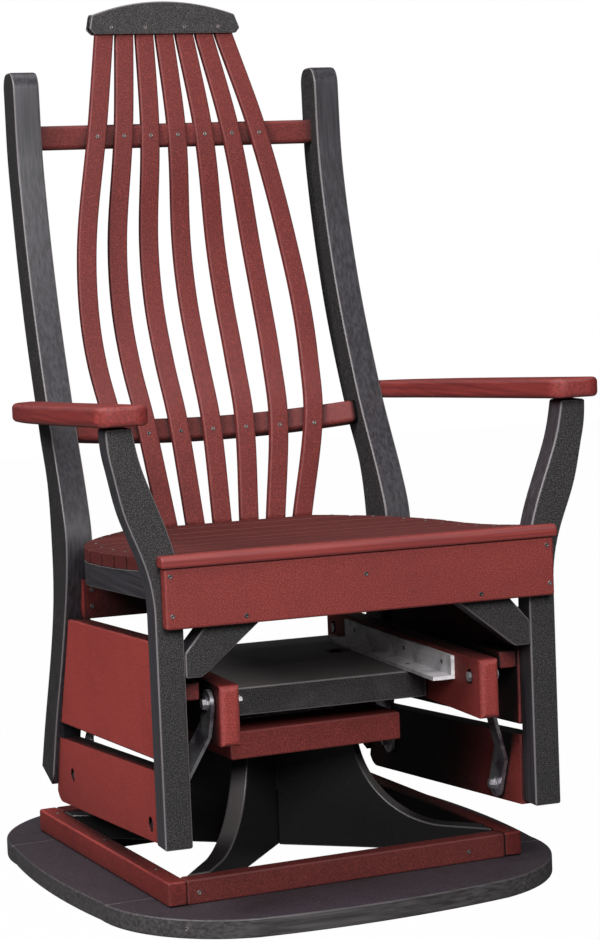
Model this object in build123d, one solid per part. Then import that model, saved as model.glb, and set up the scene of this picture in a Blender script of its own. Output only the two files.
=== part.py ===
from build123d import *
from math import cos, radians, sin, sqrt
import os

# High-back swivel glider in recycled plastic lumber, millimetres.
# Origin on the floor under the swivel axis, +X to the viewer's right, chair facing -Y, +Z up.

# Stock and fits
stock = 37.5
board = 25.4
running_gap = 0.05
round_sides = 12

# Base plate, a ring of four boards
base_turn = 4.3
base_thick = board
base_half_w = 333.0
base_front_d = 379.0
base_rear_d = 395.0
base_side_shares = (0.967, 0.454)
base_corner_shares = (0.832, 0.792)
base_end_shares = (0.5345, 0.96)
ring_open_share = 0.586

# Red frame on the plate
frame_half = base_half_w * 0.775
frame_wide = 26.0
frame_tall = 33.0

# Crossed pedestal
pedestal_thick = board
pedestal_turn = 3.4
diagonal = 45.0
foot_tip_z = base_thick + frame_tall
foot_knee_r = 250.0
foot_knee_z = 61.5
flare_r = 161.0
flare_z = 105.0
pedestal_top_r = 127.0
mount_half_w = 126.0
mount_half_d = 167.0
mount_z = 186.0
mount_thick = 38.0

# Turntable bearing
platform_z = 249.5
platform_thick = stock
turn_plate_half = 89.0
turn_plate_thick = 3.0
race_outer = 80.0
race_inner = 58.0

# Swivelling platform, glide rails and angles
rail_thick = 26.2
rail_inner = 163.4
rail_front = -378.0
rail_rear = 184.0
rail_z0 = 246.0
rail_tall = 77.0
rail_round = 9.0
rail_nose_r = 8.0
rail_bore_r = 10.0
rail_bore_deep = 4.0
platform_front = -200.0
platform_rear = 158.0
access_hole_x = 116.0
access_hole_y = 16.0
access_hole_r = 17.5
angle_leg = 31.0
angle_wall = 5.0
angle_front = -292.0
angle_rear = 98.0
angle_hole_r = 3.0
angle_hole_shares = (0.08, 0.42, 0.9)
angle_hole_height_share = 0.62

# Glide links
pivot_front_y = -340.0
pivot_rear_y = 158.0
pivot_z = 297.0
link_length = 174.0
lean_front = 22.8
lean_rear = 15.24
link_wide = 36.0
link_thick = 5.0
washer_thick = 1.6
bolt_r = 4.0
washer_r = 9.0
nut_r = 7.0
nut_thick = 6.0
head_thick = 5.0
open_play = 1.7
joggle_start_share = 0.22
joggle_end_share = 0.72
lower_stack = 9.0

# Side panels
panel_outer = 256.0
panel_front_y = -343.5
upper_top_front = 379.0
upper_low_front = 227.5
lower_top_front = 214.0
lower_low_front = 121.0
upper_top_fall = 0.0557
upper_low_fall = 0.063
lower_top_fall = 0.079
lower_low_fall = 0.0815
lower_panel_end = 208.0
counterbore_r = 10.0
counterbore_deep = 8.0
panel_corner_r = 30.0
cleat_inner = 205.0
cleat_z0 = 303.0
cleat_tall = 24.0
cleat_long = 90.0

# Front legs, outlines in X and Z
leg_inner = 233.8
leg_outer = 270.1
leg_front = -381.0
leg_foot_z = 125.0
leg_inner_knee_z = 440.0
leg_outer_knee_z = 415.0
leg_inner_curve = ((241, 496), (258, 548), (272, 585), (288, 652))
leg_outer_curve = ((283, 490), (304, 547), (315, 596), (322, 652))
leg_top_flare = 8.0

# Back posts, outline in Y and Z, splayed outwards to the foot
post_outer = 251.5
post_thick = 39.0
post_splay = 0.75
post_front_low = ((202, 92), (168, 193), (119, 303), (84, 400))
post_front_high = ((76, 465), (96, 521), (159, 640), (230, 810), (274, 980))
post_front_top = (282, 1110)
post_rear_low = ((262, 113), (234, 182), (184, 296), (160, 372), (156, 440))
post_rear_high = ((171, 535), (212, 610), (285, 780), (335, 980))
post_rear_top = (342, 1110)
post_top_z = 1127.0
post_foot_z = 90.0
post_top_r = 16.0

# Seat
seat_half = 262.0
seat_rear = 158.0
seat_round_y = -65.0
seat_corner_turn = 30.0
nosing_front = -405.0
nosing_rear = -355.0
nosing_half = 266.0
nosing_top = 496.0
nosing_round = 8.0
slat_thick = 18.5
slat_pitch = 59.0
slat_count = 9
slat_gap = 5.5
dish_low = 466.0
dish_rise = 25.0
dish_y = 80.0
seat_rail_inner = 135.0
seat_rail_tall = 37.0
apron_half = 261.4
apron_thick = 19.0
apron_z0 = 403.0
apron_top = 479.0
rear_apron_half = 238.0
rear_apron_low = 356.0
rear_apron_back = 98.0
brace_span = 102.0
brace_low = 338.0
brace_nose = 32.0
brace_band = 73.6
brace_nose_shares = (0.33, 0.25)

# Arms, right hand outline in X and Y
arm_front_y = -402.0
arm_front_inner = 269.0
arm_front_outer = 341.0
arm_corner_r = 13.0
arm_bend_r = 26.0
arm_inner_bend = (262, 40)
arm_post_bend = (256, 116)
arm_outer_bend = (330, -20)
arm_outer_mid = (314, 120)
arm_rear_outer = (286, 205)
arm_rear_y = 222.0
arm_low_front = 654.6
arm_fall = 0.042

# Back rails, crest and slats; each sweep point has Y, Z and the cup of the outer slats
upper_rail_z0 = 1015.0
upper_rail_tall = 35.0
upper_rail_front = 302.0
lower_rail_z0 = 584.5
lower_rail_tall = 33.0
lower_rail_front = 197.5
lower_rail_bow = 42.0
lower_rail_lean = 17.0
rail_round_back = 7.0
back_slat_count = 7
back_slat_wide = 27.8
back_slat_thick = 13.5
back_slat_top = 1212.0
fan = ((41.0, 460), (50.9, 615), (54.7, 745), (51.3, 880), (41.3, 1040), (31.1, 1183))
sweep = ((159.5, 460, 0), (193, 613, 2.2), (238, 699, 3.0), (280, 787, 4.2), (300, 877, 3.7), (296, 1000, 1.2),
         (304, 1065, 0.5), (341, 1183, 0))
crest_z0 = 1184.0
crest_tall = 49.0
crest_half_wide = 117.0
crest_low_share = 0.94
crest_wide_share = 0.16
crest_shoulder_shares = (0.95, 0.59)
crest_front_lip = 7.0
crest_thick = board


def put(shape, node):
    os.makedirs("parts", exist_ok=True)
    export_step(shape, f"parts/{node}.step")


def block(x0, x1, y0, y1, z0, z1):
    return Pos((x0 + x1) / 2, (y0 + y1) / 2, (z0 + z1) / 2) * Box(x1 - x0, y1 - y0, z1 - z0)


def rod(radius, x0, x1, y, z):
    return Pos((x0 + x1) / 2, y, z) * Rot(0, 90, 0) * Cylinder(radius, abs(x1 - x0))


def prism_rod(sides, radius, x0, x1, y, z):
    face = Plane.YZ * RegularPolygon(radius, sides)
    return Pos(min(x0, x1), y, z) * extrude(face, abs(x1 - x0), dir=(1, 0, 0))


def hexagon_along_x(radius, x0, x1, y, z):
    return prism_rod(6, radius, x0, x1, y, z)


def washer(x0, y, z):
    return prism_rod(round_sides, washer_r, x0, x0 + washer_thick, y, z)


def prism_along_x(face, x0, x1):
    return Pos(x0, 0, 0) * extrude(Plane.YZ * face, x1 - x0, dir=(1, 0, 0))


def prism_along_y(face, y0, y1):
    return Pos(0, y0, 0) * extrude(Plane.XZ * face, y1 - y0, dir=(0, 1, 0))


def polygon(*points):
    return make_face(Polyline(*points, close=True))


def mirrored(shape):
    return mirror(shape, about=Plane.YZ)


def both(shape, name):
    put(shape, f"{name}_right")
    put(mirrored(shape), f"{name}_left")


# Base

def base_points(depth):
    shares = (base_side_shares, base_corner_shares, base_end_shares)
    return [(base_half_w * across, depth * along) for across, along in shares]


def flip(point):
    return (-point[0], point[1])


def base_outline():
    side_f, corner_f, end_f = base_points(-base_front_d)
    side_r, corner_r, end_r = base_points(base_rear_d)
    edges = [
        ThreePointArc(side_f, (base_half_w, 0), side_r),
        ThreePointArc(side_r, corner_r, end_r),
        ThreePointArc(end_r, (0, base_rear_d), flip(end_r)),
        ThreePointArc(flip(end_r), flip(corner_r), flip(side_r)),
        ThreePointArc(flip(side_r), (-base_half_w, 0), flip(side_f)),
        ThreePointArc(flip(side_f), flip(corner_f), flip(end_f)),
        ThreePointArc(flip(end_f), (0, -base_front_d), end_f),
        ThreePointArc(end_f, corner_f, side_f),
    ]
    return make_face(edges)


def turned(shape):
    return Rot(0, 0, base_turn) * shape


def base_plate():
    plate = extrude(base_outline(), base_thick)
    w = base_half_w
    h = base_half_w * ring_open_share
    put(turned(plate & block(-w, w, -base_front_d, -h, 0, base_thick)), "base_board_front")
    put(turned(plate & block(-w, w, h, base_rear_d, 0, base_thick)), "base_board_rear")
    put(turned(plate & block(-w, -h, -h, h, 0, base_thick)), "base_board_left")
    put(turned(plate & block(h, w, -h, h, 0, base_thick)), "base_board_right")


def base_frame():
    f = frame_half
    g = frame_half - frame_wide
    z0 = base_thick
    z1 = base_thick + frame_tall
    put(turned(block(-g, g, -f, -g, z0, z1)), "frame_board_front")
    put(turned(block(-g, g, g, f, z0, z1)), "frame_board_rear")
    put(turned(block(-f, -g, -f, f, z0, z1)), "frame_board_left")
    put(turned(block(g, f, -f, f, z0, z1)), "frame_board_right")


def pedestal_profile():
    reach = (frame_half - frame_wide) * sqrt(2)
    tip = (reach, foot_tip_z)
    knee = (foot_knee_r, foot_knee_z)
    top = (pedestal_top_r, mount_z)
    left_tip = (-tip[0], tip[1])
    left_knee = (-knee[0], knee[1])
    left_top = (-top[0], top[1])
    edges = [
        Line((-reach, base_thick), (reach, base_thick)),
        Line((reach, base_thick), tip),
        Line(tip, knee),
        ThreePointArc(knee, (flare_r, flare_z), top),
        Line(top, left_top),
        ThreePointArc(left_top, (-flare_r, flare_z), left_knee),
        Line(left_knee, left_tip),
        Line(left_tip, (-reach, base_thick)),
    ]
    return make_face(edges)


def pedestal():
    inside = frame_half - frame_wide
    well = block(-inside, inside, -inside, inside, base_thick, mount_z)
    cross = (base_thick + mount_z) / 2
    half = pedestal_thick / 2
    plain = prism_along_y(pedestal_profile(), -half, half)
    lap_top = block(-half, half, -half, half, cross, mount_z)
    lap_low = block(-half, half, -half, half, base_thick, cross)
    board_a = Rot(0, 0, pedestal_turn + diagonal) * (plain - lap_top)
    board_b = Rot(0, 0, pedestal_turn - diagonal) * (plain - lap_low)
    put(turned(board_a & well), "pedestal_board_a")
    put(turned(board_b & well), "pedestal_board_b")
    mount = block(-mount_half_w, mount_half_w, -mount_half_d, mount_half_d, mount_z, mount_z + mount_thick)
    put(turned(mount), "mount_board")


def turntable():
    z0 = mount_z + mount_thick
    middle = (z0 + platform_z) / 2
    half = turn_plate_half
    race = Circle(race_outer) - Circle(race_inner)
    low_race = Pos(0, 0, z0) * extrude(race, middle - z0)
    top_race = Pos(0, 0, middle) * extrude(race, platform_z - middle)
    low = block(-half, half, -half, half, z0, z0 + turn_plate_thick) + low_race
    top = block(-half, half, -half, half, platform_z - turn_plate_thick, platform_z) + top_race
    put(turned(low), "turntable_lower")
    put(top, "turntable_upper")


# Swivelling platform

def glide_rail():
    blank = block(rail_inner, rail_inner + rail_thick, rail_front, rail_rear, rail_z0, rail_z0 + rail_tall)
    rail = fillet(blank.edges().filter_by(Axis.X), rail_round)
    rail = rail & fillet(blank.edges().filter_by(Axis.Z).group_by(Axis.Y)[0], rail_nose_r)
    for y in (pivot_front_y, pivot_rear_y):
        rail -= rod(bolt_r, rail_inner, rail_inner + rail_thick, y, pivot_z)
        rail -= rod(rail_bore_r, rail_inner, rail_inner + rail_bore_deep, y, pivot_z)
    both(rail, "glide_rail")


def platform():
    top = platform_z + platform_thick
    slab = block(-rail_inner, rail_inner, platform_front, platform_rear, platform_z, top)
    slab = fillet(slab.edges().filter_by(Axis.Z), rail_round)
    hole = Pos(access_hole_x, access_hole_y, platform_z + platform_thick / 2)
    slab -= hole * Cylinder(access_hole_r, platform_thick)
    put(slab, "platform")


def rail_angle():
    z0 = platform_z + platform_thick
    x1 = rail_inner
    upright = block(x1 - angle_wall, x1, angle_front, angle_rear, z0, z0 + angle_leg)
    flat = block(x1 - angle_leg, x1, angle_front, angle_rear, z0, z0 + angle_wall)
    angle = upright + flat
    length = angle_rear - angle_front
    for share in angle_hole_shares:
        y = angle_front + share * length
        angle -= rod(angle_hole_r, x1 - angle_wall, x1, y, z0 + angle_leg * angle_hole_height_share)
    both(angle, "rail_angle")


def link_inner_x():
    return rail_inner + rail_thick + washer_thick


def link_low_outer_x():
    return panel_outer - board - washer_thick


def upper_bolt(y):
    x0 = rail_inner + rail_bore_deep
    x1 = link_inner_x() + link_thick
    stack = prism_rod(round_sides, bolt_r, x0 - nut_thick, x1 + washer_thick, y, pivot_z)
    stack += hexagon_along_x(nut_r, x0 - nut_thick, x0, y, pivot_z)
    stack += washer(rail_inner + rail_thick, y, pivot_z)
    stack += washer(x1, y, pivot_z)
    stack += hexagon_along_x(nut_r, x1 + washer_thick, x1 + washer_thick + head_thick, y, pivot_z)
    return stack


def upper_bolts():
    right = [upper_bolt(pivot_front_y), upper_bolt(pivot_rear_y)]
    left = [mirrored(bolt) for bolt in right]
    put(Compound(children=right + left), "rail_bolts")


# Glide links

def lower_pivot(front):
    if front:
        y = pivot_front_y + link_length * sin(radians(lean_front))
        return y, pivot_z - link_length * cos(radians(lean_front))
    y = pivot_rear_y - link_length * sin(radians(lean_rear))
    return y, pivot_z - link_length * cos(radians(lean_rear))


def straight_link(low_hole_r):
    r = link_wide / 2
    top = link_inner_x()
    low = link_low_outer_x() - link_thick
    z1 = -link_length * joggle_start_share
    z2 = -link_length * joggle_end_share
    t = link_thick
    strip = polygon((top, r), (top, z1), (low, z2), (low, -link_length - r), (low + t, -link_length - r),
                    (low + t, z2), (top + t, z1), (top + t, r))
    bar = prism_along_y(strip, -r, r)
    face = SlotCenterToCenter(link_length, link_wide, rotation=90)
    stadium = Pos(0, 0, -link_length / 2) * prism_along_x(face, top - r, low + 2 * r)
    bar = bar & stadium
    bar -= rod(bolt_r + running_gap, top - r, top + r, 0, 0)
    bar -= rod(low_hole_r, low - r, low + r, 0, -link_length)
    return bar


def links():
    front = Pos(0, pivot_front_y, pivot_z) * Rot(lean_front, 0, 0) * straight_link(bolt_r + running_gap)
    rear = Pos(0, pivot_rear_y, pivot_z) * Rot(-lean_rear, 0, 0) * straight_link(bolt_r + open_play)
    both(front, "link_front")
    both(rear, "link_rear")


def lower_bolt(front):
    y, z = lower_pivot(front)
    inner = panel_outer - board
    link_in = link_low_outer_x() - link_thick
    tip = link_in - lower_stack
    head = panel_outer - counterbore_deep
    stack = prism_rod(round_sides, bolt_r, tip, head, y, z)
    stack += washer(inner - washer_thick, y, z)
    stack += washer(link_in - washer_thick, y, z)
    stack += hexagon_along_x(nut_r, link_in - washer_thick - nut_thick, link_in - washer_thick, y, z)
    stack += washer(head, y, z)
    stack += hexagon_along_x(nut_r, head + washer_thick, head + head_thick, y, z)
    return stack


def lower_bolts():
    right = [lower_bolt(True), lower_bolt(False)]
    left = [mirrored(bolt) for bolt in right]
    put(Compound(children=right + left), "panel_bolts")


# Posts, legs and arms

def post_face():
    low_front = Spline(*post_front_low, *post_front_high, post_front_top)
    crown_front = (post_front_top[0] + post_top_r / 2, post_top_z)
    crown_rear = (post_rear_top[0] - post_top_r / 2, post_top_z)
    high_rear = Spline(post_rear_top, *reversed(post_rear_high), *reversed(post_rear_low))
    foot_rear = (post_front_low[0][0] + post_top_r, post_foot_z)
    edges = [
        low_front,
        Line(post_front_top, crown_front),
        Line(crown_front, crown_rear),
        Line(crown_rear, post_rear_top),
        high_rear,
        Line(post_rear_low[0], foot_rear),
        Line(foot_rear, post_front_low[0]),
    ]
    return make_face(edges)


def post():
    hinge = post_front_top[1]
    plank = Pos(0, 0, -hinge) * prism_along_x(post_face(), -post_thick, 0)
    return Pos(post_outer, 0, hinge) * Rot(0, -post_splay, 0) * plank


def between_posts(bar, the_post):
    pieces = (bar - the_post - mirrored(the_post)).solids()
    return pieces.sort_by(lambda piece: abs(piece.center().X))[0]


def leg_face():
    inner_low = (leg_inner, leg_foot_z)
    inner_knee = (leg_inner, leg_inner_knee_z)
    outer_low = (leg_outer, leg_foot_z)
    outer_knee = (leg_outer, leg_outer_knee_z)
    flare = radians(leg_top_flare)
    edges = [
        Line(inner_low, inner_knee),
        Spline(inner_knee, *leg_inner_curve, tangents=((0, 1), (sin(flare), cos(flare)))),
        Line(leg_inner_curve[-1], leg_outer_curve[-1]),
        Spline(outer_knee, *leg_outer_curve, tangents=((0, 1), (0, 1))),
        Line(outer_low, outer_knee),
        Line(inner_low, outer_low),
    ]
    return make_face(edges)


def leg():
    return prism_along_y(leg_face(), leg_front, leg_front + stock)


def arm_low_z(y):
    return arm_low_front - arm_fall * (y - arm_front_y)


def arm_slab():
    y0 = arm_front_y
    y1 = arm_rear_y
    z0 = arm_low_z(y0)
    z1 = arm_low_z(y1)
    face = polygon((y0, z0), (y1, z1), (y1, z1 + board), (y0, z0 + board))
    return prism_along_x(face, arm_post_bend[0], arm_front_outer)


def arm_plan():
    points = [
        (arm_front_inner, arm_front_y), (arm_front_outer, arm_front_y), arm_outer_bend, arm_outer_mid,
        arm_rear_outer, (arm_post_bend[0], arm_rear_y), arm_post_bend, arm_inner_bend,
    ]
    face = fillet(polygon(*points).vertices().group_by(Axis.Y)[0], arm_corner_r)
    inside = (arm_inner_bend[0] + arm_rear_outer[0]) / 2
    middle = (arm_front_y + arm_outer_bend[1]) / 2
    bends = face.vertices().filter_by(lambda v: v.X > inside and v.Y > middle)
    return fillet(bends, arm_bend_r)


def arm(the_post):
    low = arm_low_z(arm_rear_y)
    plan = Pos(0, 0, low) * extrude(arm_plan(), arm_low_front + board - low)
    return (arm_slab() & plan) - the_post


# Seat

def seat_plan():
    reach = sqrt(seat_half ** 2 - (seat_rear - seat_round_y) ** 2)
    turn = radians(seat_corner_turn)
    mid_x = seat_half * cos(turn)
    mid_y = seat_round_y + seat_half * sin(turn)
    front = nosing_front - board
    edges = [
        Line((-seat_half, front), (seat_half, front)),
        Line((seat_half, front), (seat_half, seat_round_y)),
        ThreePointArc((seat_half, seat_round_y), (mid_x, mid_y), (reach, seat_rear)),
        Line((reach, seat_rear), (-reach, seat_rear)),
        ThreePointArc((-reach, seat_rear), (-mid_x, mid_y), (-seat_half, seat_round_y)),
        Line((-seat_half, seat_round_y), (-seat_half, front)),
    ]
    return make_face(edges)


def seat_column():
    return Pos(0, 0, apron_z0) * extrude(seat_plan(), nosing_top - apron_z0 + board)


def seat_top(y):
    share = (y - dish_y) / (nosing_rear - dish_y)
    return dish_low + dish_rise * share * share


def slat_edges(i):
    y0 = nosing_rear + i * slat_pitch
    y1 = min(y0 + slat_pitch, seat_rear)
    return y0 + slat_gap, y1


def seat_slat(i, column, left_leg, right_leg):
    y0, y1 = slat_edges(i)
    a = seat_top(y0)
    b = seat_top(y1)
    face = polygon((y0, a), (y1, b), (y1, b - slat_thick), (y0, a - slat_thick))
    slat = prism_along_x(face, -seat_half, seat_half) & column
    if i == 0:
        slat = slat - left_leg - right_leg
    return slat


def nosing(left_leg, right_leg):
    low_front = apron_top
    low_rear = seat_top(nosing_rear) - slat_thick
    back = nosing_rear
    face = polygon((nosing_front, low_front), (leg_front, low_front), (leg_front, low_rear), (back, low_rear),
                   (back, seat_top(back)), (nosing_front, nosing_top))
    bar = prism_along_x(face, -nosing_half, nosing_half)
    front_edges = bar.edges().filter_by(Axis.X).group_by(Axis.Y)[0]
    bar = fillet(front_edges.sort_by(Axis.Z)[-1], nosing_round)
    return bar - left_leg - right_leg


def seat_rail(column, the_leg):
    points = [(leg_front, seat_top(nosing_rear) - slat_thick)]
    for i in range(slat_count):
        y0, y1 = slat_edges(i)
        points += [(y0, seat_top(y0) - slat_thick), (y1, seat_top(y1) - slat_thick)]
    rear_low = seat_top(seat_rear) - slat_thick - seat_rail_tall
    mid = rear_apron_back
    points += [(seat_rear, rear_low), (mid - board, rear_low)]
    points += [(leg_front, seat_top(nosing_rear) - slat_thick - seat_rail_tall)]
    rail = prism_along_x(polygon(*points), seat_rail_inner, seat_half)
    return (rail & column) - the_leg


def front_apron():
    face = block(-apron_half, apron_half, leg_front - apron_thick, leg_front, apron_z0, apron_top)
    return face


def rear_apron(the_post):
    top = seat_top(seat_rear) - slat_thick - seat_rail_tall
    y1 = rear_apron_back
    bar = block(-rear_apron_half, rear_apron_half, y1 - board, y1, rear_apron_low, top)
    return between_posts(bar, the_post)


def corner_brace():
    x1 = leg_inner
    x0 = x1 - brace_span
    z1 = apron_z0
    nose = x1 - brace_nose
    across, up = brace_nose_shares
    points = [(x0, z1), (nose, brace_low + brace_nose * up), (nose + brace_nose * across, brace_low),
              (x1, brace_low), (x1, brace_low + brace_nose), (x0 + brace_band, z1)]
    return prism_along_y(polygon(*points), leg_front, leg_front + stock)


# Side panels

def sloped_panel(top, top_fall, low, low_fall, end):
    y0 = panel_front_y
    run = end - y0
    face = polygon((y0, low), (end, low - low_fall * run), (end, top - top_fall * run), (y0, top))
    return prism_along_x(face, panel_outer - board, panel_outer)


def upper_panel(the_post):
    end = lower_panel_end
    panel = sloped_panel(upper_top_front, upper_top_fall, upper_low_front, upper_low_fall, end)
    pieces = (panel - the_post).solids().sort_by(Axis.Y)
    return pieces[0]


def lower_panel(the_post):
    panel = sloped_panel(lower_top_front, lower_top_fall, lower_low_front, lower_low_fall, lower_panel_end)
    bottom_rear = panel.edges().filter_by(Axis.X).group_by(Axis.Y)[-1].sort_by(Axis.Z)[0]
    panel = fillet(bottom_rear, panel_corner_r)
    panel = (panel - the_post).solids().sort_by(Axis.Y)[0]
    for front in (True, False):
        y, z = lower_pivot(front)
        panel -= rod(bolt_r, panel_outer - board, panel_outer, y, z)
        panel -= rod(counterbore_r, panel_outer - counterbore_deep, panel_outer, y, z)
    return panel


def cleats():
    x1 = panel_outer - board
    z1 = cleat_z0 + cleat_tall
    right = block(cleat_inner, x1, panel_front_y, panel_front_y + cleat_long, cleat_z0, z1)
    put(Compound(children=[right, mirrored(right)]), "panel_cleats")


# Back

def top_lean():
    return (sweep[-1][0] - sweep[-2][0]) / (sweep[-1][1] - sweep[-2][1])


def slat_side_face(i):
    front = [(y - cup * i * i, z) for y, z, cup in sweep]
    rise = back_slat_top - front[-1][1]
    tip = (front[-1][0] + rise * top_lean(), back_slat_top)
    foot = (sweep[1][0] - sweep[0][0], sweep[1][1] - sweep[0][1])
    ends = (foot, (top_lean(), 1))
    back = [(y + back_slat_thick, z) for y, z in front]
    back_tip = (tip[0] + back_slat_thick, tip[1])
    edges = [
        Spline(*front, tangents=ends),
        Line(front[-1], tip),
        Line(tip, back_tip),
        Line(back_tip, back[-1]),
        Spline(*back, tangents=ends),
        Line(back[0], front[0]),
    ]
    return make_face(edges)


def slat_front_face(i):
    half = back_slat_wide / 2
    (x0, z0), (x1, z1) = fan[-2:]
    top_x = x1 + (back_slat_top - z1) * (x1 - x0) / (z1 - z0)
    centre = [(i * x, z) for x, z in fan + ((top_x, back_slat_top),)]
    left = [(x - half, z) for x, z in centre]
    right = [(x + half, z) for x, z in reversed(centre)]
    if i == 0:
        return polygon(left[0], left[-1], right[0], right[-1])
    return polygon(*left, *right)


def back_slat(i):
    reach = fan[0][0] * back_slat_count
    side = prism_along_x(slat_side_face(i), -reach, reach)
    y0 = sweep[0][0] - stock
    y1 = sweep[-1][0] + stock
    return side & prism_along_y(slat_front_face(i), y0, y1)


def upper_rail():
    y0 = upper_rail_front
    z0 = upper_rail_z0
    bar = block(-post_outer, post_outer, y0, y0 + board, z0, z0 + upper_rail_tall)
    return fillet(bar.edges().filter_by(Axis.X), rail_round_back)


def lower_rail():
    mid_y = lower_rail_front
    end_y = lower_rail_front - lower_rail_bow
    end_x = post_outer
    edges = [
        ThreePointArc((-end_x, end_y), (0, mid_y), (end_x, end_y)),
        Line((end_x, end_y), (end_x, end_y + board)),
        ThreePointArc((end_x, end_y + board), (0, mid_y + board), (-end_x, end_y + board)),
        Line((-end_x, end_y + board), (-end_x, end_y)),
    ]
    lean = radians(lower_rail_lean)
    plan = Pos(0, 0, lower_rail_z0) * make_face(edges)
    return extrude(plan, lower_rail_tall / cos(lean), dir=(0, sin(lean), cos(lean)))


def back_rails(slats, the_post):
    top = between_posts(upper_rail(), the_post)
    low = between_posts(lower_rail(), the_post)
    for slat in slats:
        top -= slat
        low -= slat
    put(top, "back_rail_upper")
    put(low, "back_rail_lower")


def crest(slot):
    w = crest_half_wide
    low = w * crest_low_share
    across, up = crest_shoulder_shares
    wide_z = crest_z0 + crest_tall * crest_wide_share
    shoulder = (w * across, crest_z0 + crest_tall * up)
    edges = [
        Line((-low, crest_z0), (low, crest_z0)),
        Line((low, crest_z0), (w, wide_z)),
        Line((w, wide_z), shoulder),
        ThreePointArc(shoulder, (0, crest_z0 + crest_tall), flip(shoulder)),
        Line(flip(shoulder), (-w, wide_z)),
        Line((-w, wide_z), (-low, crest_z0)),
    ]
    outline = make_face(edges)
    lean = top_lean()
    front = sweep[-1][0] - crest_front_lip
    rear = front + crest_thick
    slab = prism_along_y(outline, front, rear + lean * crest_tall)
    top_z = crest_z0 + crest_tall
    side = polygon((front, crest_z0), (rear, crest_z0), (rear + lean * crest_tall, top_z),
                   (front + lean * crest_tall, top_z))
    return (slab & prism_along_x(side, -w, w)) - slot


def backrest(the_post):
    centre = back_slat(0)
    sides = [back_slat(i) for i in (1, 2, 3)]
    slats = [mirrored(s) for s in reversed(sides)] + [centre] + sides
    back_rails(slats, the_post)
    slot = prism_along_x(slat_side_face(0), -crest_half_wide, crest_half_wide)
    put(crest(slot), "crest")
    for number, slat in enumerate(slats, 1):
        put(slat, f"back_slat_{number}")


def chair_sides():
    the_post = post()
    the_arm = arm(the_post)
    the_leg = leg() - the_arm
    both(the_arm, "arm")
    both(the_leg, "leg")
    both(the_post, "post")
    both(upper_panel(the_post), "upper_panel")
    both(lower_panel(the_post), "lower_panel")
    brace = corner_brace()
    put(Compound(children=[brace, mirrored(brace)]), "corner_braces")
    return the_leg, the_post


def seat(the_leg, the_post):
    column = seat_column()
    left_leg = mirrored(the_leg)
    for i in range(slat_count):
        put(seat_slat(i, column, left_leg, the_leg), f"seat_slat_{i + 1}")
    put(nosing(left_leg, the_leg), "seat_nosing")
    both(seat_rail(column, the_leg), "seat_rail")
    put(front_apron(), "apron_front")
    put(rear_apron(the_post), "apron_rear")


def main():
    base_plate()
    base_frame()
    pedestal()
    turntable()
    platform()
    glide_rail()
    rail_angle()
    upper_bolts()
    links()
    lower_bolts()
    the_leg, the_post = chair_sides()
    cleats()
    seat(the_leg, the_post)
    backrest(the_post)


main()
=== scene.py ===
import math

import bpy
from mathutils import Matrix, Vector


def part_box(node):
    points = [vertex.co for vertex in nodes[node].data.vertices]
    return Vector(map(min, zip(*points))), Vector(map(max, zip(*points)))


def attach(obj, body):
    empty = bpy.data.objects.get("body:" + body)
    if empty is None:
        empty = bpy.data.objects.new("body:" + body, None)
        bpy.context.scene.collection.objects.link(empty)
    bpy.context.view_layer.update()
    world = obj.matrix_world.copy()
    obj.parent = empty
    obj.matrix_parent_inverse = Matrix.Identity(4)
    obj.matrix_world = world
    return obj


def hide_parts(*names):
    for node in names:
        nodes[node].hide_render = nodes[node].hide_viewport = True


# Metres and degrees throughout, in the part's own frame.

# Camera
camera_place = (-1.16611, -3.41393, 0.88030)
camera_yaw = 19.808
camera_pitch = 5.211
camera_roll = -2.312
focal_px = 2600.0
image_long_px = 940.0
film_long_mm = 36.0

# Stage and lamps
floor_size = 14.0
floor_shade = 0.12
floor_glow = 1.02
shadow_share = 0.03
world_level = 0.055
lamp_target = (0.0, 0.0, 0.55)
lamps = (
    ("left", (-3.6, -1.3, 3.3), 1.8, 185.0),
    ("front", (-0.5, -3.5, 2.2), 1.6, 142.0),
    ("top", (-0.2, 0.6, 3.8), 2.0, 34.0),
)

# Colours as seen on screen, 0 to 255
red_face = (110, 39, 37)
red_milled = (142, 54, 50)
red_speck = (152, 62, 55)
red_deep = (92, 32, 32)
black_face = (21, 20, 21)
black_milled = (68, 65, 71)
black_speck = (74, 70, 71)
black_deep = (28, 27, 28)
gloss_face = (29, 26, 28)
gloss_milled = (29, 27, 29)
gloss_speck = (42, 39, 42)
plate_face = (50, 42, 50)
plate_milled = (82, 78, 80)
plate_speck = (78, 70, 76)
# Platform's top and deep grain painted lighter than the black, as painted light on its shaded top
platform_top_painted_light = (116, 110, 110)
platform_deep_painted_light = (90, 86, 86)
# Painted shade: the colour that enclosed surfaces are darkened towards
painted_shade_tone = (9, 5, 6)

# Wear and painted highlight on the arrises, and its colour in linear light
wear_and_highlight_tone = (0.40, 0.36, 0.36)
wear_and_highlight_tint = 0.5
wear_and_highlight_share_red = 0.10
wear_and_highlight_share_black = 0.72
wear_and_highlight_share_gloss = 0.34
shine_red = 0.34
shine_black = 0.42

# Painted shade in hollows: how far hollows are felt, and the openness at which the painted shade is darkest
# and gone
panel_painted_shade = (0.30, 0.35, 0.85)
rail_painted_shade = (0.30, 0.16, 0.46)
slat_painted_shade = (0.014, 0.40, 0.85)
back_painted_shade = (0.05, 0.40, 0.92)
painted_shade_samples = 6
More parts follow.
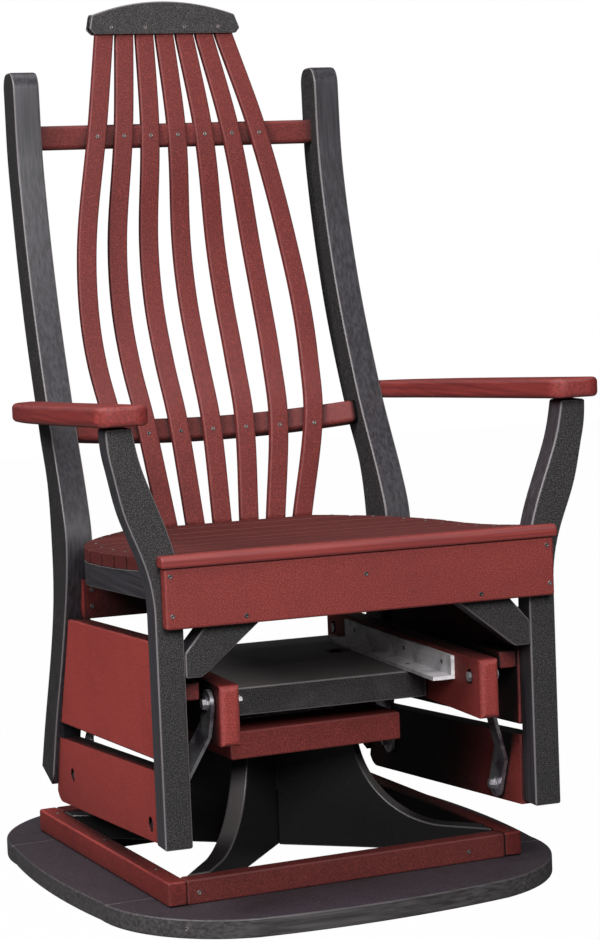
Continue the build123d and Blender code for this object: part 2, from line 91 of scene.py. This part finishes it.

# Kinds of lumber: tones of face, sawn edge, speck and deep grain, roughness of face and sawn edge, wear with
# painted highlight, shine and painted shade in hollows
black_tones = (black_face, black_milled, black_speck, black_deep)
platform_painted_light_tones = (black_face, platform_top_painted_light, black_speck, platform_deep_painted_light)
gloss_tones = (gloss_face, gloss_milled, gloss_speck, black_deep)
plate_tones = (plate_face, plate_milled, plate_speck, black_deep)
lumber_kinds = {
    "black_lumber": (black_tones, (0.60, 0.36), wear_and_highlight_share_black, shine_black, None),
    "platform_lumber": (platform_painted_light_tones, (0.60, 0.50), wear_and_highlight_share_black, shine_black, None),
    "gloss_lumber": (gloss_tones, (0.34, 0.30), wear_and_highlight_share_gloss, shine_black, None),
    "plate_lumber": (plate_tones, (0.55, 0.40), wear_and_highlight_share_red, shine_black, None),
}

# Copies of the one red board with painted light and shade: brightness against the plain red, and painted
# shade in hollows
red_tones = (red_face, red_milled, red_speck, red_deep)
red_rough = (0.62, 0.52)
red_painted_light_copies = {
    "red_lumber": (1.0, None),
    "back_lumber": (0.88, None),
    "cross_lumber": (0.92, back_painted_shade),
    "seat_lumber": (0.74, slat_painted_shade),
    "panel_lumber": (1.26, panel_painted_shade),
    "rail_lumber": (1.12, rail_painted_shade),
    "mount_lumber": (0.90, None),
    "frame_lumber": (0.76, None),
}
# Each copy is the plain red made brighter or darker as painted light and shade
for kind, (painted_brightness, painted_hollow_shade) in red_painted_light_copies.items():
    tones = [tuple(painted_brightness * v for v in tone) for tone in red_tones]
    lumber_kinds[kind] = (tones, red_rough, wear_and_highlight_share_red, shine_red, painted_hollow_shade)

# Lumber texture. Each noise has its features per metre, detail and roughness, and each band has the value at
# which a mark starts and the value at which it is full.
speck_noise = (680.0, 1.5, 0.6)
mottle_noise = (26.0, 4.0, 0.6)
cloud_noise = (3.2, 3.0, 0.5)
streak_noise = (1.0, 4.0, 0.6)
grain_across = 240.0
grain_along = 5.0
face_band = (0.80, 0.97)
arris_band = (0.18, 0.45)
speck_band = (0.48, 0.62)
mottle_band = (0.45, 0.75)
mottle_share = 0.25
streak_band = (0.30, 0.72)
plain_share = 0.25
cloud_band = (0.35, 0.75)
cloud_share = 0.22
streak_rough = 0.12
lumber_bump = (0.45, 0.0005)

# Metals: tone, tarnish, roughness, scratches per metre along X, Y and Z, and metallic share
metals = {
    "zinc_plate": ((176, 174, 178), (84, 70, 86), 0.34, (60.0, 60.0, 900.0), 0.75),
    "mill_aluminium": ((238, 236, 238), (188, 184, 188), 0.44, (900.0, 8.0, 900.0), 0.0),
    "screw_metal": ((118, 110, 108), (58, 50, 50), 0.40, (60.0, 60.0, 60.0), 0.6),
}
tarnish_noise = (34.0, 4.0, 0.6)
scratch_noise = (1.0, 3.0, 0.5)
tarnish_band = (0.42, 0.72)
scratch_band = (0.4, 0.7)
scratch_share = 0.35
scratch_rough = 0.18
metal_bump = (0.15, 0.0002)

# Edge rounding by kind of piece
edge_soft = 0.0032
edge_arm = 0.0064
edge_limit_share = 0.45
edge_rail = 0.0060
edge_slat = 0.0030
edge_seat = 0.0014
edge_plate = 0.0026
edge_metal = 0.0004
edge_segments = 3
corner_steps = 4
crease_angle = 32.0
flat_angle = 0.6
weld_gap = 0.000002

# Boards by the start of their names: kind of lumber, which carries its painted light and shade, axes that
# its faces look along, grain axis and rounding
boards = (
    (("leg",), "black_lumber", "Y", "Z", edge_soft),
    (("crest",), "black_lumber", "Y", "X", edge_rail),
    (("seat_rail",), "black_lumber", "Z", "Y", edge_soft),
    (("corner_braces",), "black_lumber", "Y", "X", edge_soft),
    (("platform",), "platform_lumber", "Y", "X", edge_soft),
    (("pedestal",), "gloss_lumber", "Z", "X", edge_soft),
    (("base_board",), "plate_lumber", "Z", "X", edge_plate),
    (("apron_front",), "red_lumber", "Y", "X", edge_soft),
    (("apron_rear",), "panel_lumber", "Y", "X", edge_soft),
    (("seat_nosing",), "red_lumber", "Z", "X", edge_soft),
    (("seat_slat",), "seat_lumber", "Z", "X", edge_seat),
    (("back_rail_upper",), "cross_lumber", "Y", "X", edge_rail),
    (("upper_panel", "lower_panel", "panel_cleats"), "panel_lumber", "X", "Y", edge_soft),
    (("glide_rail",), "rail_lumber", "XY", "Y", edge_soft),
    (("mount_board",), "mount_lumber", "YZ", "X", edge_soft),
    (("frame_board_front", "frame_board_rear"), "frame_lumber", "YZ", "X", edge_soft),
    (("frame_board_left", "frame_board_right"), "panel_lumber", "XZ", "Y", edge_soft),
)

# Back slats. Each table gives a height first: the middle slat's front face, the sideways place of each slat
# per step from the middle, and how far it comes forward per squared step.
slat_wide = 0.0278
slat_thick = 0.0135
slat_top = 1.212
ring_step = 0.012
end_turn = 9
sweep = (
    (0.460, 0.1595), (0.613, 0.1930), (0.699, 0.2380), (0.787, 0.2800), (0.877, 0.3000), (1.000, 0.2960),
    (1.065, 0.3040), (1.183, 0.3410), (1.212, 0.3501),
)
fan = (
    (0.460, 0.0410), (0.615, 0.0509), (0.745, 0.0547), (0.880, 0.0513), (1.040, 0.0413), (1.183, 0.0311),
    (1.212, 0.0290),
)
cups = (
    (0.460, 0.0), (0.613, 0.0022), (0.699, 0.0030), (0.787, 0.0042), (0.877, 0.0037), (1.000, 0.0012),
    (1.065, 0.0005), (1.183, 0.0), (1.212, 0.0),
)

# Lower back rail: a bowed board leant back, so that its ends rise
rail_half = 0.2190
rail_place = (0.1965, 0.5885)
rail_thick = 0.0254
rail_tall = 0.0330
rail_bow = 0.039
rail_lean = 20.0

# Posts by height: front edge, rear edge and outer face
post_fronts = (
    (0.090, 0.2030), (0.193, 0.1680), (0.303, 0.1190), (0.400, 0.0840), (0.465, 0.0760), (0.521, 0.0960),
    (0.640, 0.1590), (0.810, 0.2300), (0.980, 0.2740), (1.110, 0.2820), (1.130, 0.2825),
)
post_rears = (
    (0.118, 0.2590), (0.182, 0.2340), (0.296, 0.1840), (0.372, 0.1600), (0.440, 0.1560), (0.535, 0.1710),
    (0.610, 0.2120), (0.780, 0.2850), (0.980, 0.3350), (1.110, 0.3420), (1.130, 0.3425),
)
post_outers = (
    (0.090, 0.2645), (0.300, 0.2615), (0.480, 0.2590), (0.650, 0.2547), (0.900, 0.2517), (1.050, 0.2513),
    (1.130, 0.2512),
)
post_foot = (0.1010, 0.2030)
post_top = 1.128
post_round = 0.024
post_thick = 0.0390

# Arms by depth from front to rear: inner and outer edge
arm_inners = ((-0.402, 0.2690), (0.040, 0.2620), (0.120, 0.2560), (0.156, 0.2546), (0.222, 0.2546))
arm_outers = ((-0.402, 0.3375), (-0.020, 0.3300), (0.120, 0.3140), (0.190, 0.2950), (0.222, 0.2680))
arm_front_low = 0.6556
arm_fall = 0.042
arm_tall = 0.0254
arm_round = 0.020

# Screw heads: size, then radius and height of each turned ring as shares of it
screw_r = 0.0031
screw_proud = 0.0006
screw_sides = 20
screw_shape = ((0.0, 0.15), (0.30, 0.15), (0.36, 0.95), (0.78, 1.0), (0.94, 0.7), (1.0, 0.0))
ray_start = 0.1

# Screw places, mostly as shares of half the width and of the height of their board
crest_screws = (-0.71, -0.26, 0.26, 0.71)
crest_screw_up = 0.2
apron_places = (
    (-0.972, 0.87), (-0.968, 0.22), (-0.605, 0.13), (0.008, 0.64), (0.605, 0.13), (0.964, 0.86),
    (0.975, 0.21),
)
rear_apron_out = 0.95
rear_apron_ups = (0.3, 0.72)
seat_screw_in = 0.024
seat_screw_depth = 0.4
frame_thick = 0.026
frame_side_screws = (-0.82, 0.0, 0.82)
frame_front_screws = (-0.78, 0.78)
frame_screw_up = 0.45
plate_screw_out = 0.7
plate_screw_up = 0.5
angle_wall = 0.005
angle_shares = (0.08, 0.42, 0.9)
angle_up_share = 0.62
foot_shares = (0.30, 0.62)
foot_in = 0.019

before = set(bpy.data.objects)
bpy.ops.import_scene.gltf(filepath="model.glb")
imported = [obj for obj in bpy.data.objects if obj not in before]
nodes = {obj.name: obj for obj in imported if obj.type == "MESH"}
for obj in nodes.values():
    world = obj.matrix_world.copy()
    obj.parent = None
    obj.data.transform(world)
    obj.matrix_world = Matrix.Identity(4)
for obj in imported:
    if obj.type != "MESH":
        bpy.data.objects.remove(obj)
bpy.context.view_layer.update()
# The piece that shows for each node, once some are replaced
shown = dict(nodes)


# Colour and node helpers

def linear(rgb):
    """Screen colour to the linear values that a shader takes."""
    values = []
    for v in rgb:
        s = v / 255
        values.append(s / 12.92 if s <= 0.04045 else ((s + 0.055) / 1.055) ** 2.4)
    return (*values, 1.0)


class Graph:
    """A short way to write one material's nodes."""

    def __init__(self, name):
        self.material = bpy.data.materials.new(name)
        self.material.use_nodes = True
        self.tree = self.material.node_tree
        self.shader = self.tree.nodes["Principled BSDF"]
        coords = self.add("ShaderNodeTexCoord")
        self.place = coords.outputs["Object"]
        self.normal = coords.outputs["Normal"]

    def add(self, kind, **settings):
        node = self.tree.nodes.new(kind)
        for key, value in settings.items():
            setattr(node, key, value)
        return node

    def link(self, source, target):
        self.tree.links.new(source, target)

    def math(self, operation, a, b=None, clamp=False):
        node = self.add("ShaderNodeMath", operation=operation, use_clamp=clamp)
        for socket, value in zip(node.inputs, (a, b)):
            if value is None:
                continue
            if isinstance(value, (int, float)):
                socket.default_value = value
            else:
                self.link(value, socket)
        return node.outputs[0]

    def noise(self, scale, detail, rough, vector=None):
        node = self.add("ShaderNodeTexNoise")
        node.inputs["Scale"].default_value = scale
        node.inputs["Detail"].default_value = detail
        node.inputs["Roughness"].default_value = rough
        self.link(vector or self.place, node.inputs["Vector"])
        return node.outputs["Fac"]

    def stretched(self, scales):
        node = self.add("ShaderNodeMapping")
        node.inputs["Scale"].default_value = scales
        self.link(self.place, node.inputs["Vector"])
        return node.outputs["Vector"]

    def band(self, value, low, high):
        """Rises from 0 at low to 1 at high."""
        node = self.add("ShaderNodeMapRange", interpolation_type="SMOOTHSTEP")
        node.inputs["From Min"].default_value = low
        node.inputs["From Max"].default_value = high
        self.link(value, node.inputs["Value"])
        return node.outputs["Result"]

    def mix(self, share, a, b):
        node = self.add("ShaderNodeMix", data_type="RGBA")
        if isinstance(share, (int, float)):
            node.inputs["Factor"].default_value = share
        else:
            self.link(share, node.inputs["Factor"])
        for socket, value in ((node.inputs[6], a), (node.inputs[7], b)):
            if isinstance(value, tuple):
                socket.default_value = value
            else:
                self.link(value, socket)
        return node.outputs[2]

    def bump(self, height, strength, depth):
        node = self.add("ShaderNodeBump")
        node.inputs["Strength"].default_value = strength
        node.inputs["Distance"].default_value = depth
        self.link(height, node.inputs["Height"])
        self.link(node.outputs["Normal"], self.shader.inputs["Normal"])


def facing_share(graph, axes):
    """How squarely a surface looks along any of the given axes, 0 to 1."""
    split = graph.add("ShaderNodeSeparateXYZ")
    graph.link(graph.normal, split.inputs["Vector"])
    squareness = 0.0
    for letter in axes:
        across = graph.math("ABSOLUTE", split.outputs["XYZ".index(letter)])
        squareness = graph.math("MAXIMUM", across, squareness)
    return squareness


def grain(graph, grain_axis):
    """Streaks drawn out along one axis."""
    scales = [grain_across] * 3
    scales["XYZ".index(grain_axis)] = grain_along
    return graph.noise(*streak_noise, graph.stretched(scales))


def with_painted_shade(graph, colour, painted_hollow_shade):
    """The colour with painted shade: darker where the surface is enclosed by its neighbours."""
    reach, darkest, gone = painted_hollow_shade
    openness = graph.add("ShaderNodeAmbientOcclusion", samples=painted_shade_samples)
    openness.inputs["Distance"].default_value = reach
    return graph.mix(graph.band(openness.outputs["AO"], darkest, gone), linear(painted_shade_tone), colour)


def lumber(name, kind, face_axes, grain_axis):
    """Moulded plastic board: pebbled sheet faces, sawn edges streaked along the grain, arrises lighter with
    wear and painted highlight, and painted shade in hollows where the kind has it.
    """
    tones, (rough_face, rough_sawn), wear_and_highlight_share, shine, painted_hollow_shade = lumber_kinds[kind]
    face, milled, speck, deep = [linear(tone) for tone in tones]
    g = Graph(name)
    squareness = facing_share(g, face_axes)
    on_face = g.band(squareness, *face_band)
    off_face = g.math("SUBTRACT", 1.0, on_face)
    on_arris = g.math("MULTIPLY", g.band(squareness, *arris_band), off_face)
    fine = g.noise(*speck_noise)
    mottle = g.noise(*mottle_noise)
    cloud = g.noise(*cloud_noise)
    streak = grain(g, grain_axis)
    pebbled = g.mix(g.band(fine, *speck_band), face, speck)
    pebbled = g.mix(g.math("MULTIPLY", g.band(mottle, *mottle_band), mottle_share), pebbled, deep)
    sawn = g.mix(g.band(streak, *streak_band), deep, milled)
    sawn = g.mix(plain_share, sawn, milled)
    colour = g.mix(on_face, sawn, pebbled)
    # Lighter arrises: partly wear, partly painted highlight
    wear_and_highlight = g.mix(wear_and_highlight_tint, milled, (*wear_and_highlight_tone, 1.0))
    colour = g.mix(g.math("MULTIPLY", on_arris, wear_and_highlight_share), colour, wear_and_highlight)
    shade = g.math("MULTIPLY", g.band(cloud, *cloud_band), cloud_share)
    colour = g.mix(shade, colour, deep)
    # Painted shade in hollows, darkest where neighbours enclose the surface
    if painted_hollow_shade:
        colour = with_painted_shade(g, colour, painted_hollow_shade)
    g.link(colour, g.shader.inputs["Base Color"])
    rough = g.math("ADD", g.math("MULTIPLY", on_face, rough_face - rough_sawn), rough_sawn)
    rough = g.math("ADD", rough, g.math("MULTIPLY", streak, streak_rough), clamp=True)
    g.link(rough, g.shader.inputs["Roughness"])
    height = g.math("ADD", g.math("MULTIPLY", fine, on_face), g.math("MULTIPLY", streak, off_face))
    g.bump(height, *lumber_bump)
    g.shader.inputs["Specular IOR Level"].default_value = shine
    return g.material


def board(kind, face_axes, grain_axis):
    """The material of one kind for a direction of face and grain, made once."""
    name = f"{kind}_{face_axes}{grain_axis}"
    return bpy.data.materials.get(name) or lumber(name, kind, face_axes, grain_axis)


def metal(name):
    """Bare or plated metal with fine drawn lines and cloudy tarnish."""
    tone, tarnish, rough, scratch_scales, metallic = metals[name]
    g = Graph(name)
    lines = g.noise(*scratch_noise, g.stretched(scratch_scales))
    cloud = g.noise(*tarnish_noise)
    colour = g.mix(g.band(cloud, *tarnish_band), linear(tone), linear(tarnish))
    scratched = g.math("MULTIPLY", g.band(lines, *scratch_band), scratch_share)
    colour = g.mix(scratched, colour, linear(tarnish))
    g.link(colour, g.shader.inputs["Base Color"])
    rough = g.math("ADD", g.math("MULTIPLY", lines, scratch_rough), rough - scratch_rough / 2)
    g.link(rough, g.shader.inputs["Roughness"])
    g.shader.inputs["Metallic"].default_value = metallic
    g.bump(lines, *metal_bump)
    return g.material


# Materials and rounded edges on the solids

def dress(node, material):
    for slot in nodes[node].material_slots:
        slot.material = material


def soften(piece, width):
    """Rounds the edges of a solid's piece, once its facets are flat faces again."""
    mesh = piece.data
    custom = mesh.attributes.get("custom_normal")
    if custom:
        mesh.attributes.remove(custom)
    for face in mesh.polygons:
        face.use_smooth = True
    weld = piece.modifiers.new("weld", "WELD")
    weld.merge_threshold = weld_gap
    plain = piece.modifiers.new("flat faces", "DECIMATE")
    plain.decimate_type = "DISSOLVE"
    plain.angle_limit = math.radians(flat_angle)
    bevel = piece.modifiers.new("rounded edges", "BEVEL")
    bevel.width = width
    bevel.segments = edge_segments
    bevel.limit_method = "ANGLE"
    bevel.angle_limit = math.radians(crease_angle)
    bevel.miter_outer = "MITER_ARC"
    weights = piece.modifiers.new("even shading", "WEIGHTED_NORMAL")
    weights.keep_sharp = False


def starts(*heads):
    return sorted(n for n in nodes if n.startswith(heads))


def dress_boards():
    for heads, kind, face_axes, grain_axis, width in boards:
        for node in starts(*heads):
            dress(node, board(kind, face_axes, grain_axis))
            soften(nodes[node], width)


def dress_metal():
    zinc = metal("zinc_plate")
    mill = metal("mill_aluminium")
    for node in starts("link", "rail_bolts", "panel_bolts", "turntable"):
        dress(node, zinc)
    for node in starts("rail_angle"):
        dress(node, mill)
    for node in starts("link", "rail_angle"):
        soften(nodes[node], edge_metal)


# Smooth forms in place of some solids

def follow(table, z):
    """Value at place z on the smooth curve through a table of places and values."""
    last = len(table) - 1
    k = 0
    while k < last - 1 and table[k + 1][0] <= z:
        k += 1
    slopes = []
    for i in (k, k + 1):
        before = table[max(i - 1, 0)]
        after = table[min(i + 1, last)]
        slopes.append((after[1] - before[1]) / (after[0] - before[0]))
    (z0, a), (z1, b) = table[k], table[k + 1]
    span = z1 - z0
    t = (z - z0) / span
    rise = t * t * (3 - 2 * t)
    bend = t * (1 - t) ** 2 * slopes[0] - t * t * (1 - t) * slopes[1]
    return a + (b - a) * rise + span * bend


def ringed(node, rings, material):
    """A bar through rings of corners, which stands for one node."""
    verts = [corner for ring in rings for corner in ring]
    count = len(rings[0])
    last = len(verts) - count
    faces = [tuple(reversed(range(count))), tuple(range(last, len(verts)))]
    for start in range(0, last, count):
        for side in range(count):
            a = start + side
            b = start + (side + 1) % count
            faces.append((a, b, b + count, a + count))
    mesh = bpy.data.meshes.new(node + "_smooth")
    mesh.from_pydata(verts, [], faces)
    mesh.materials.append(material)
    for face in mesh.polygons:
        face.use_smooth = True
    piece = bpy.data.objects.new(node + "_smooth", mesh)
    bpy.context.scene.collection.objects.link(piece)
    piece.modifiers.new("even shading", "WEIGHTED_NORMAL")
    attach(piece, "chair")
    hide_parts(node)
    shown[node] = piece


def soft_ring(a0, a1, b0, b1, r):
    """Points round a rectangle with rounded corners, anticlockwise."""
    a0, a1, b0, b1 = a0 + r, a1 - r, b0 + r, b1 - r
    points = []
    for a, b, start in ((a1, b0, -90), (a1, b1, 0), (a0, b1, 90), (a0, b0, 180)):
        for step in range(corner_steps + 1):
            turn = math.radians(start + 90 * step / corner_steps)
            points.append((a + r * math.cos(turn), b + r * math.sin(turn)))
    return points


def ring(x0, x1, y0, y1, z, r):
    return [(x, y, z) for x, y in soft_ring(x0, x1, y0, y1, r)]


def heights(low, high):
    """Even steps from low to high, ends included."""
    count = round((high - low) / ring_step)
    return [low + (high - low) * k / count for k in range(count + 1)]


def inset(radius, depth):
    """How far a rounded end has drawn in, at a depth from its tip."""
    if depth >= radius:
        return 0.0
    return radius - math.sqrt(radius ** 2 - (radius - depth) ** 2)


def end_depths(radius):
    """Depths of the rings over a rounded end, from its tip."""
    return [radius * (1 - math.cos(math.radians(degrees))) for degrees in range(0, 90, end_turn)]


def smooth_slats():
    names = starts("back_slat")
    middle = (len(names) - 1) // 2
    for number, node in enumerate(names):
        i = number - middle
        rings = []
        for z in heights(sweep[0][0], slat_top):
            x = i * follow(fan, z)
            y = follow(sweep, z) - i * i * follow(cups, z)
            rings.append(ring(x - slat_wide / 2, x + slat_wide / 2, y, y + slat_thick, z, edge_slat))
        ringed(node, rings, board("back_lumber", "Y", "Z"))


def smooth_lower_rail():
    lean = math.radians(rail_lean)
    rings = []
    for x in heights(-rail_half, rail_half):
        bow = -rail_bow * (x / rail_half) ** 2
        corners = []
        for y, z in soft_ring(bow, bow + rail_thick, 0, rail_tall, edge_rail):
            back = y * math.cos(lean) + z * math.sin(lean)
            up = z * math.cos(lean) - y * math.sin(lean)
            corners.append((x, rail_place[0] + back, rail_place[1] + up))
        rings.append(corners)
    ringed("back_rail_lower", rings, board("cross_lumber", "Y", "X"))


def post_ring(side, z, front, rear, shrink=0.0):
    outer = follow(post_outers, z)
    x0, x1 = sorted((side * (outer - post_thick + shrink), side * (outer - shrink)))
    return ring(x0, x1, front, rear, z, edge_soft)


def smooth_posts():
    for side, node in ((-1, "post_left"), (1, "post_right")):
        rings = [post_ring(side, post_foot[0], follow(post_fronts, post_foot[0]), post_foot[1])]
        for z in heights(post_rears[0][0], post_top - post_round):
            rings.append(post_ring(side, z, follow(post_fronts, z), follow(post_rears, z)))
        for depth in reversed(end_depths(post_round)):
            z = post_top - depth
            draw = inset(post_round, depth)
            front = follow(post_fronts, z) + draw
            rear = follow(post_rears, z) - draw
            rings.append(post_ring(side, z, front, rear, inset(edge_soft, depth)))
        ringed(node, rings, board("black_lumber", "X", "Z"))


def arm_ring(side, depth):
    y = arm_inners[0][0] + depth
    draw = inset(arm_round, depth)
    inner = follow(arm_inners, y) + draw
    outer = follow(arm_outers, y) - draw
    x0, x1 = sorted((side * inner, side * outer))
    squash = inset(edge_arm, depth)
    low = arm_front_low - arm_fall * depth + squash
    high = low + arm_tall - 2 * squash
    r = min(edge_arm, (high - low) * edge_limit_share)
    return [(x, y, z) for z, x in soft_ring(low, high, x0, x1, r)]


def smooth_arms():
    length = arm_inners[-1][0] - arm_inners[0][0]
    for side, node in ((-1, "arm_left"), (1, "arm_right")):
        depths = end_depths(arm_round) + heights(arm_round, length)
        rings = [arm_ring(side, depth) for depth in depths]
        ringed(node, rings, board("red_lumber", "Z", "Y"))


# Screws

def add_screw(verts, faces, place, outward):
    """Adds one turned screw head, lying on a surface that faces outward."""
    turn = Vector((0, 0, 1)).rotation_difference(Vector(outward).normalized()).to_matrix()
    start = len(verts)
    rings = [(screw_r * a, screw_proud * b) for a, b in screw_shape]
    verts.append(Vector(place) + turn @ Vector((0, 0, rings[0][1])))
    for radius, rise in rings[1:]:
        for k in range(screw_sides):
            angle = 2 * math.pi * k / screw_sides
            spot = Vector((radius * math.cos(angle), radius * math.sin(angle), rise))
            verts.append(Vector(place) + turn @ spot)
    for k in range(screw_sides):
        after = (k + 1) % screw_sides
        faces.append((start, start + 1 + k, start + 1 + after))
        for band in range(len(rings) - 2):
            low = start + 1 + band * screw_sides
            high = low + screw_sides
            faces.append((low + k, high + k, high + after, low + after))


def screw_set(name, body, material, spots):
    verts = []
    faces = []
    for place, outward in spots:
        add_screw(verts, faces, place, outward)
    mesh = bpy.data.meshes.new(name)
    mesh.from_pydata([tuple(v) for v in verts], [], faces)
    mesh.materials.append(material)
    for face in mesh.polygons:
        face.use_smooth = True
    piece = bpy.data.objects.new(name, mesh)
    bpy.context.scene.collection.objects.link(piece)
    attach(piece, body)


def surface(node, start, direction):
    """Where a ray from start first meets a node, and the way the surface faces there."""
    piece = shown[node]
    hit, place, facing, _ = piece.ray_cast(Vector(start), Vector(direction))
    if not hit:
        raise SystemExit(f"no surface of {node} on the line from {start}")
    return tuple(place), tuple(facing)


def on_front(node, x, z):
    low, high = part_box(node)
    return surface(node, (x, low[1] - ray_start, z), (0, 1, 0))


def on_top(node, x, y):
    low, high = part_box(node)
    return surface(node, (x, y, high[2] + ray_start), (0, 0, -1))


def centre_x(node, z):
    """The middle of a curved slat at one height."""
    mesh = shown[node].data
    crossing = []
    for edge in mesh.edges:
        a, b = [mesh.vertices[k].co for k in edge.vertices]
        if min(a.z, b.z) <= z < max(a.z, b.z):
            crossing.append(a.x + (b.x - a.x) * (z - a.z) / (b.z - a.z))
    return (min(crossing) + max(crossing)) / 2


def back_screws():
    upper = sum(c[2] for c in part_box("back_rail_upper")) / 2
    lower = sum(c[2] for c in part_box("back_rail_lower")) / 2
    spots = []
    for node in starts("back_slat"):
        for z in (upper, lower):
            spots.append(on_front(node, centre_x(node, z), z))
    low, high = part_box("crest")
    z = low[2] + (high[2] - low[2]) * crest_screw_up
    for share in crest_screws:
        spots.append(on_front("crest", share * high[0], z))
    return spots


def apron_screws():
    low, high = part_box("apron_front")
    tall = high[2] - low[2]
    return [on_front("apron_front", a * high[0], low[2] + b * tall) for a, b in apron_places]


def rear_apron_screws():
    low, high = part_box("apron_rear")
    tall = high[2] - low[2]
    spots = []
    for x in (-high[0] * rear_apron_out, high[0] * rear_apron_out):
        for up in rear_apron_ups:
            spots.append(on_front("apron_rear", x, low[2] + up * tall))
    return spots


def seat_screws():
    spots = []
    for node in starts("seat_slat"):
        low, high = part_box(node)
        y = low[1] + (high[1] - low[1]) * seat_screw_depth
        spots += [on_top(node, side * (high[0] - seat_screw_in), y) for side in (-1, 1)]
    return spots


def base_screws():
    spots = []
    for node in ("frame_board_left", "frame_board_right"):
        low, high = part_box(node)
        middle = (low[0] + high[0]) / 2
        lean = (high[0] - low[0] - frame_thick) / (high[1] - low[1])
        for share in frame_side_screws:
            y = share * high[1]
            spots.append(on_top(node, middle - y * lean, y))
    low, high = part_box("frame_board_front")
    up = low[2] + (high[2] - low[2]) * frame_screw_up
    for share in frame_front_screws:
        spots.append(on_front("frame_board_front", share * high[0], up))
    low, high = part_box("base_board_front")
    for side in (-1, 1):
        x = side * high[0] * plate_screw_out
        spots.append(on_front("base_board_front", x, high[2] * plate_screw_up))
    return spots


def angle_screws():
    """Screws through the upright and the flat of both rail angles."""
    spots = []
    for side, node in ((-1, "rail_angle_left"), (1, "rail_angle_right")):
        low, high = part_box(node)
        back = high[0] if side > 0 else low[0]
        up = low[2] + angle_up_share * (high[2] - low[2])
        for share in angle_shares:
            y = low[1] + share * (high[1] - low[1])
            spots.append(((back - side * angle_wall, y, up), (-side, 0, 0)))
        for share in foot_shares:
            y = low[1] + share * (high[1] - low[1])
            spots.append(((back - side * foot_in, y, low[2] + angle_wall), (0, 0, 1)))
    return spots


def add_screws():
    screw_metal = metal("screw_metal")
    chair_spots = back_screws() + apron_screws() + rear_apron_screws() + seat_screws()
    screw_set("chair_screws", "chair", screw_metal, chair_spots)
    screw_set("base_screws", "base", screw_metal, base_screws())
    screw_set("angle_screws", "swivel", screw_metal, angle_screws())


# Stage, lamps and camera

def stage_floor():
    half = floor_size / 2
    corners = [(-half, -half, 0), (half, -half, 0), (half, half, 0), (-half, half, 0)]
    mesh = bpy.data.meshes.new("floor")
    mesh.from_pydata(corners, [], [(0, 1, 2, 3)])
    floor = bpy.data.objects.new("floor", mesh)
    bpy.context.scene.collection.objects.link(floor)
    material = bpy.data.materials.new("floor")
    material.use_nodes = True
    tree = material.node_tree
    tree.nodes.clear()
    out = tree.nodes.new("ShaderNodeOutputMaterial")
    matte = tree.nodes.new("ShaderNodeBsdfDiffuse")
    matte.inputs["Color"].default_value = (floor_shade, floor_shade, floor_shade, 1)
    white = tree.nodes.new("ShaderNodeEmission")
    white.inputs["Strength"].default_value = floor_glow
    seen = tree.nodes.new("ShaderNodeLightPath")
    share = tree.nodes.new("ShaderNodeMath")
    share.operation = "MULTIPLY"
    share.inputs[1].default_value = 1 - shadow_share
    mix = tree.nodes.new("ShaderNodeMixShader")
    tree.links.new(seen.outputs["Is Camera Ray"], share.inputs[0])
    tree.links.new(share.outputs[0], mix.inputs["Fac"])
    tree.links.new(matte.outputs[0], mix.inputs[1])
    tree.links.new(white.outputs[0], mix.inputs[2])
    tree.links.new(mix.outputs[0], out.inputs["Surface"])
    mesh.materials.append(material)


def world_light():
    world = bpy.data.worlds.new("studio")
    world.use_nodes = True
    tree = world.node_tree
    tree.nodes.clear()
    out = tree.nodes.new("ShaderNodeOutputWorld")
    soft = tree.nodes.new("ShaderNodeBackground")
    soft.inputs["Strength"].default_value = world_level
    white = tree.nodes.new("ShaderNodeBackground")
    seen = tree.nodes.new("ShaderNodeLightPath")
    either = tree.nodes.new("ShaderNodeMath")
    either.operation = "MAXIMUM"
    mix = tree.nodes.new("ShaderNodeMixShader")
    tree.links.new(seen.outputs["Is Camera Ray"], either.inputs[0])
    tree.links.new(seen.outputs["Is Transmission Ray"], either.inputs[1])
    tree.links.new(either.outputs[0], mix.inputs["Fac"])
    tree.links.new(soft.outputs[0], mix.inputs[1])
    tree.links.new(white.outputs[0], mix.inputs[2])
    tree.links.new(mix.outputs[0], out.inputs["Surface"])
    for shade in (soft, white):
        shade.inputs["Color"].default_value = (1, 1, 1, 1)
    bpy.context.scene.world = world


def lamp(name, place, size, power):
    data = bpy.data.lights.new(name, "AREA")
    data.shape = "SQUARE"
    data.size = size
    data.energy = power
    light = bpy.data.objects.new(name, data)
    light.location = place
    aim = Vector(lamp_target) - Vector(place)
    light.rotation_euler = aim.to_track_quat("-Z", "Y").to_euler()
    bpy.context.scene.collection.objects.link(light)


def add_camera():
    yaw = math.radians(camera_yaw)
    pitch = math.radians(camera_pitch)
    roll = math.radians(camera_roll)
    flat = math.cos(pitch)
    ahead = Vector((math.sin(yaw) * flat, math.cos(yaw) * flat, -math.sin(pitch)))
    level = Vector((math.cos(yaw), -math.sin(yaw), 0))
    above = level.cross(ahead)
    right = math.cos(roll) * level + math.sin(roll) * above
    upward = -math.sin(roll) * level + math.cos(roll) * above
    data = bpy.data.cameras.new("camera")
    data.sensor_width = film_long_mm
    data.lens = focal_px / image_long_px * film_long_mm
    camera = bpy.data.objects.new("camera", data)
    turn = Matrix((right, upward, -ahead)).transposed()
    camera.matrix_world = Matrix.Translation(camera_place) @ turn.to_4x4()
    bpy.context.scene.collection.objects.link(camera)
    bpy.context.scene.camera = camera


dress_boards()
smooth_slats()
smooth_lower_rail()
smooth_posts()
smooth_arms()
dress_metal()
bpy.context.view_layer.update()
add_screws()
stage_floor()
world_light()
for settings in lamps:
    lamp(*settings)
add_camera()
bpy.context.scene.view_settings.view_transform = "Standard"
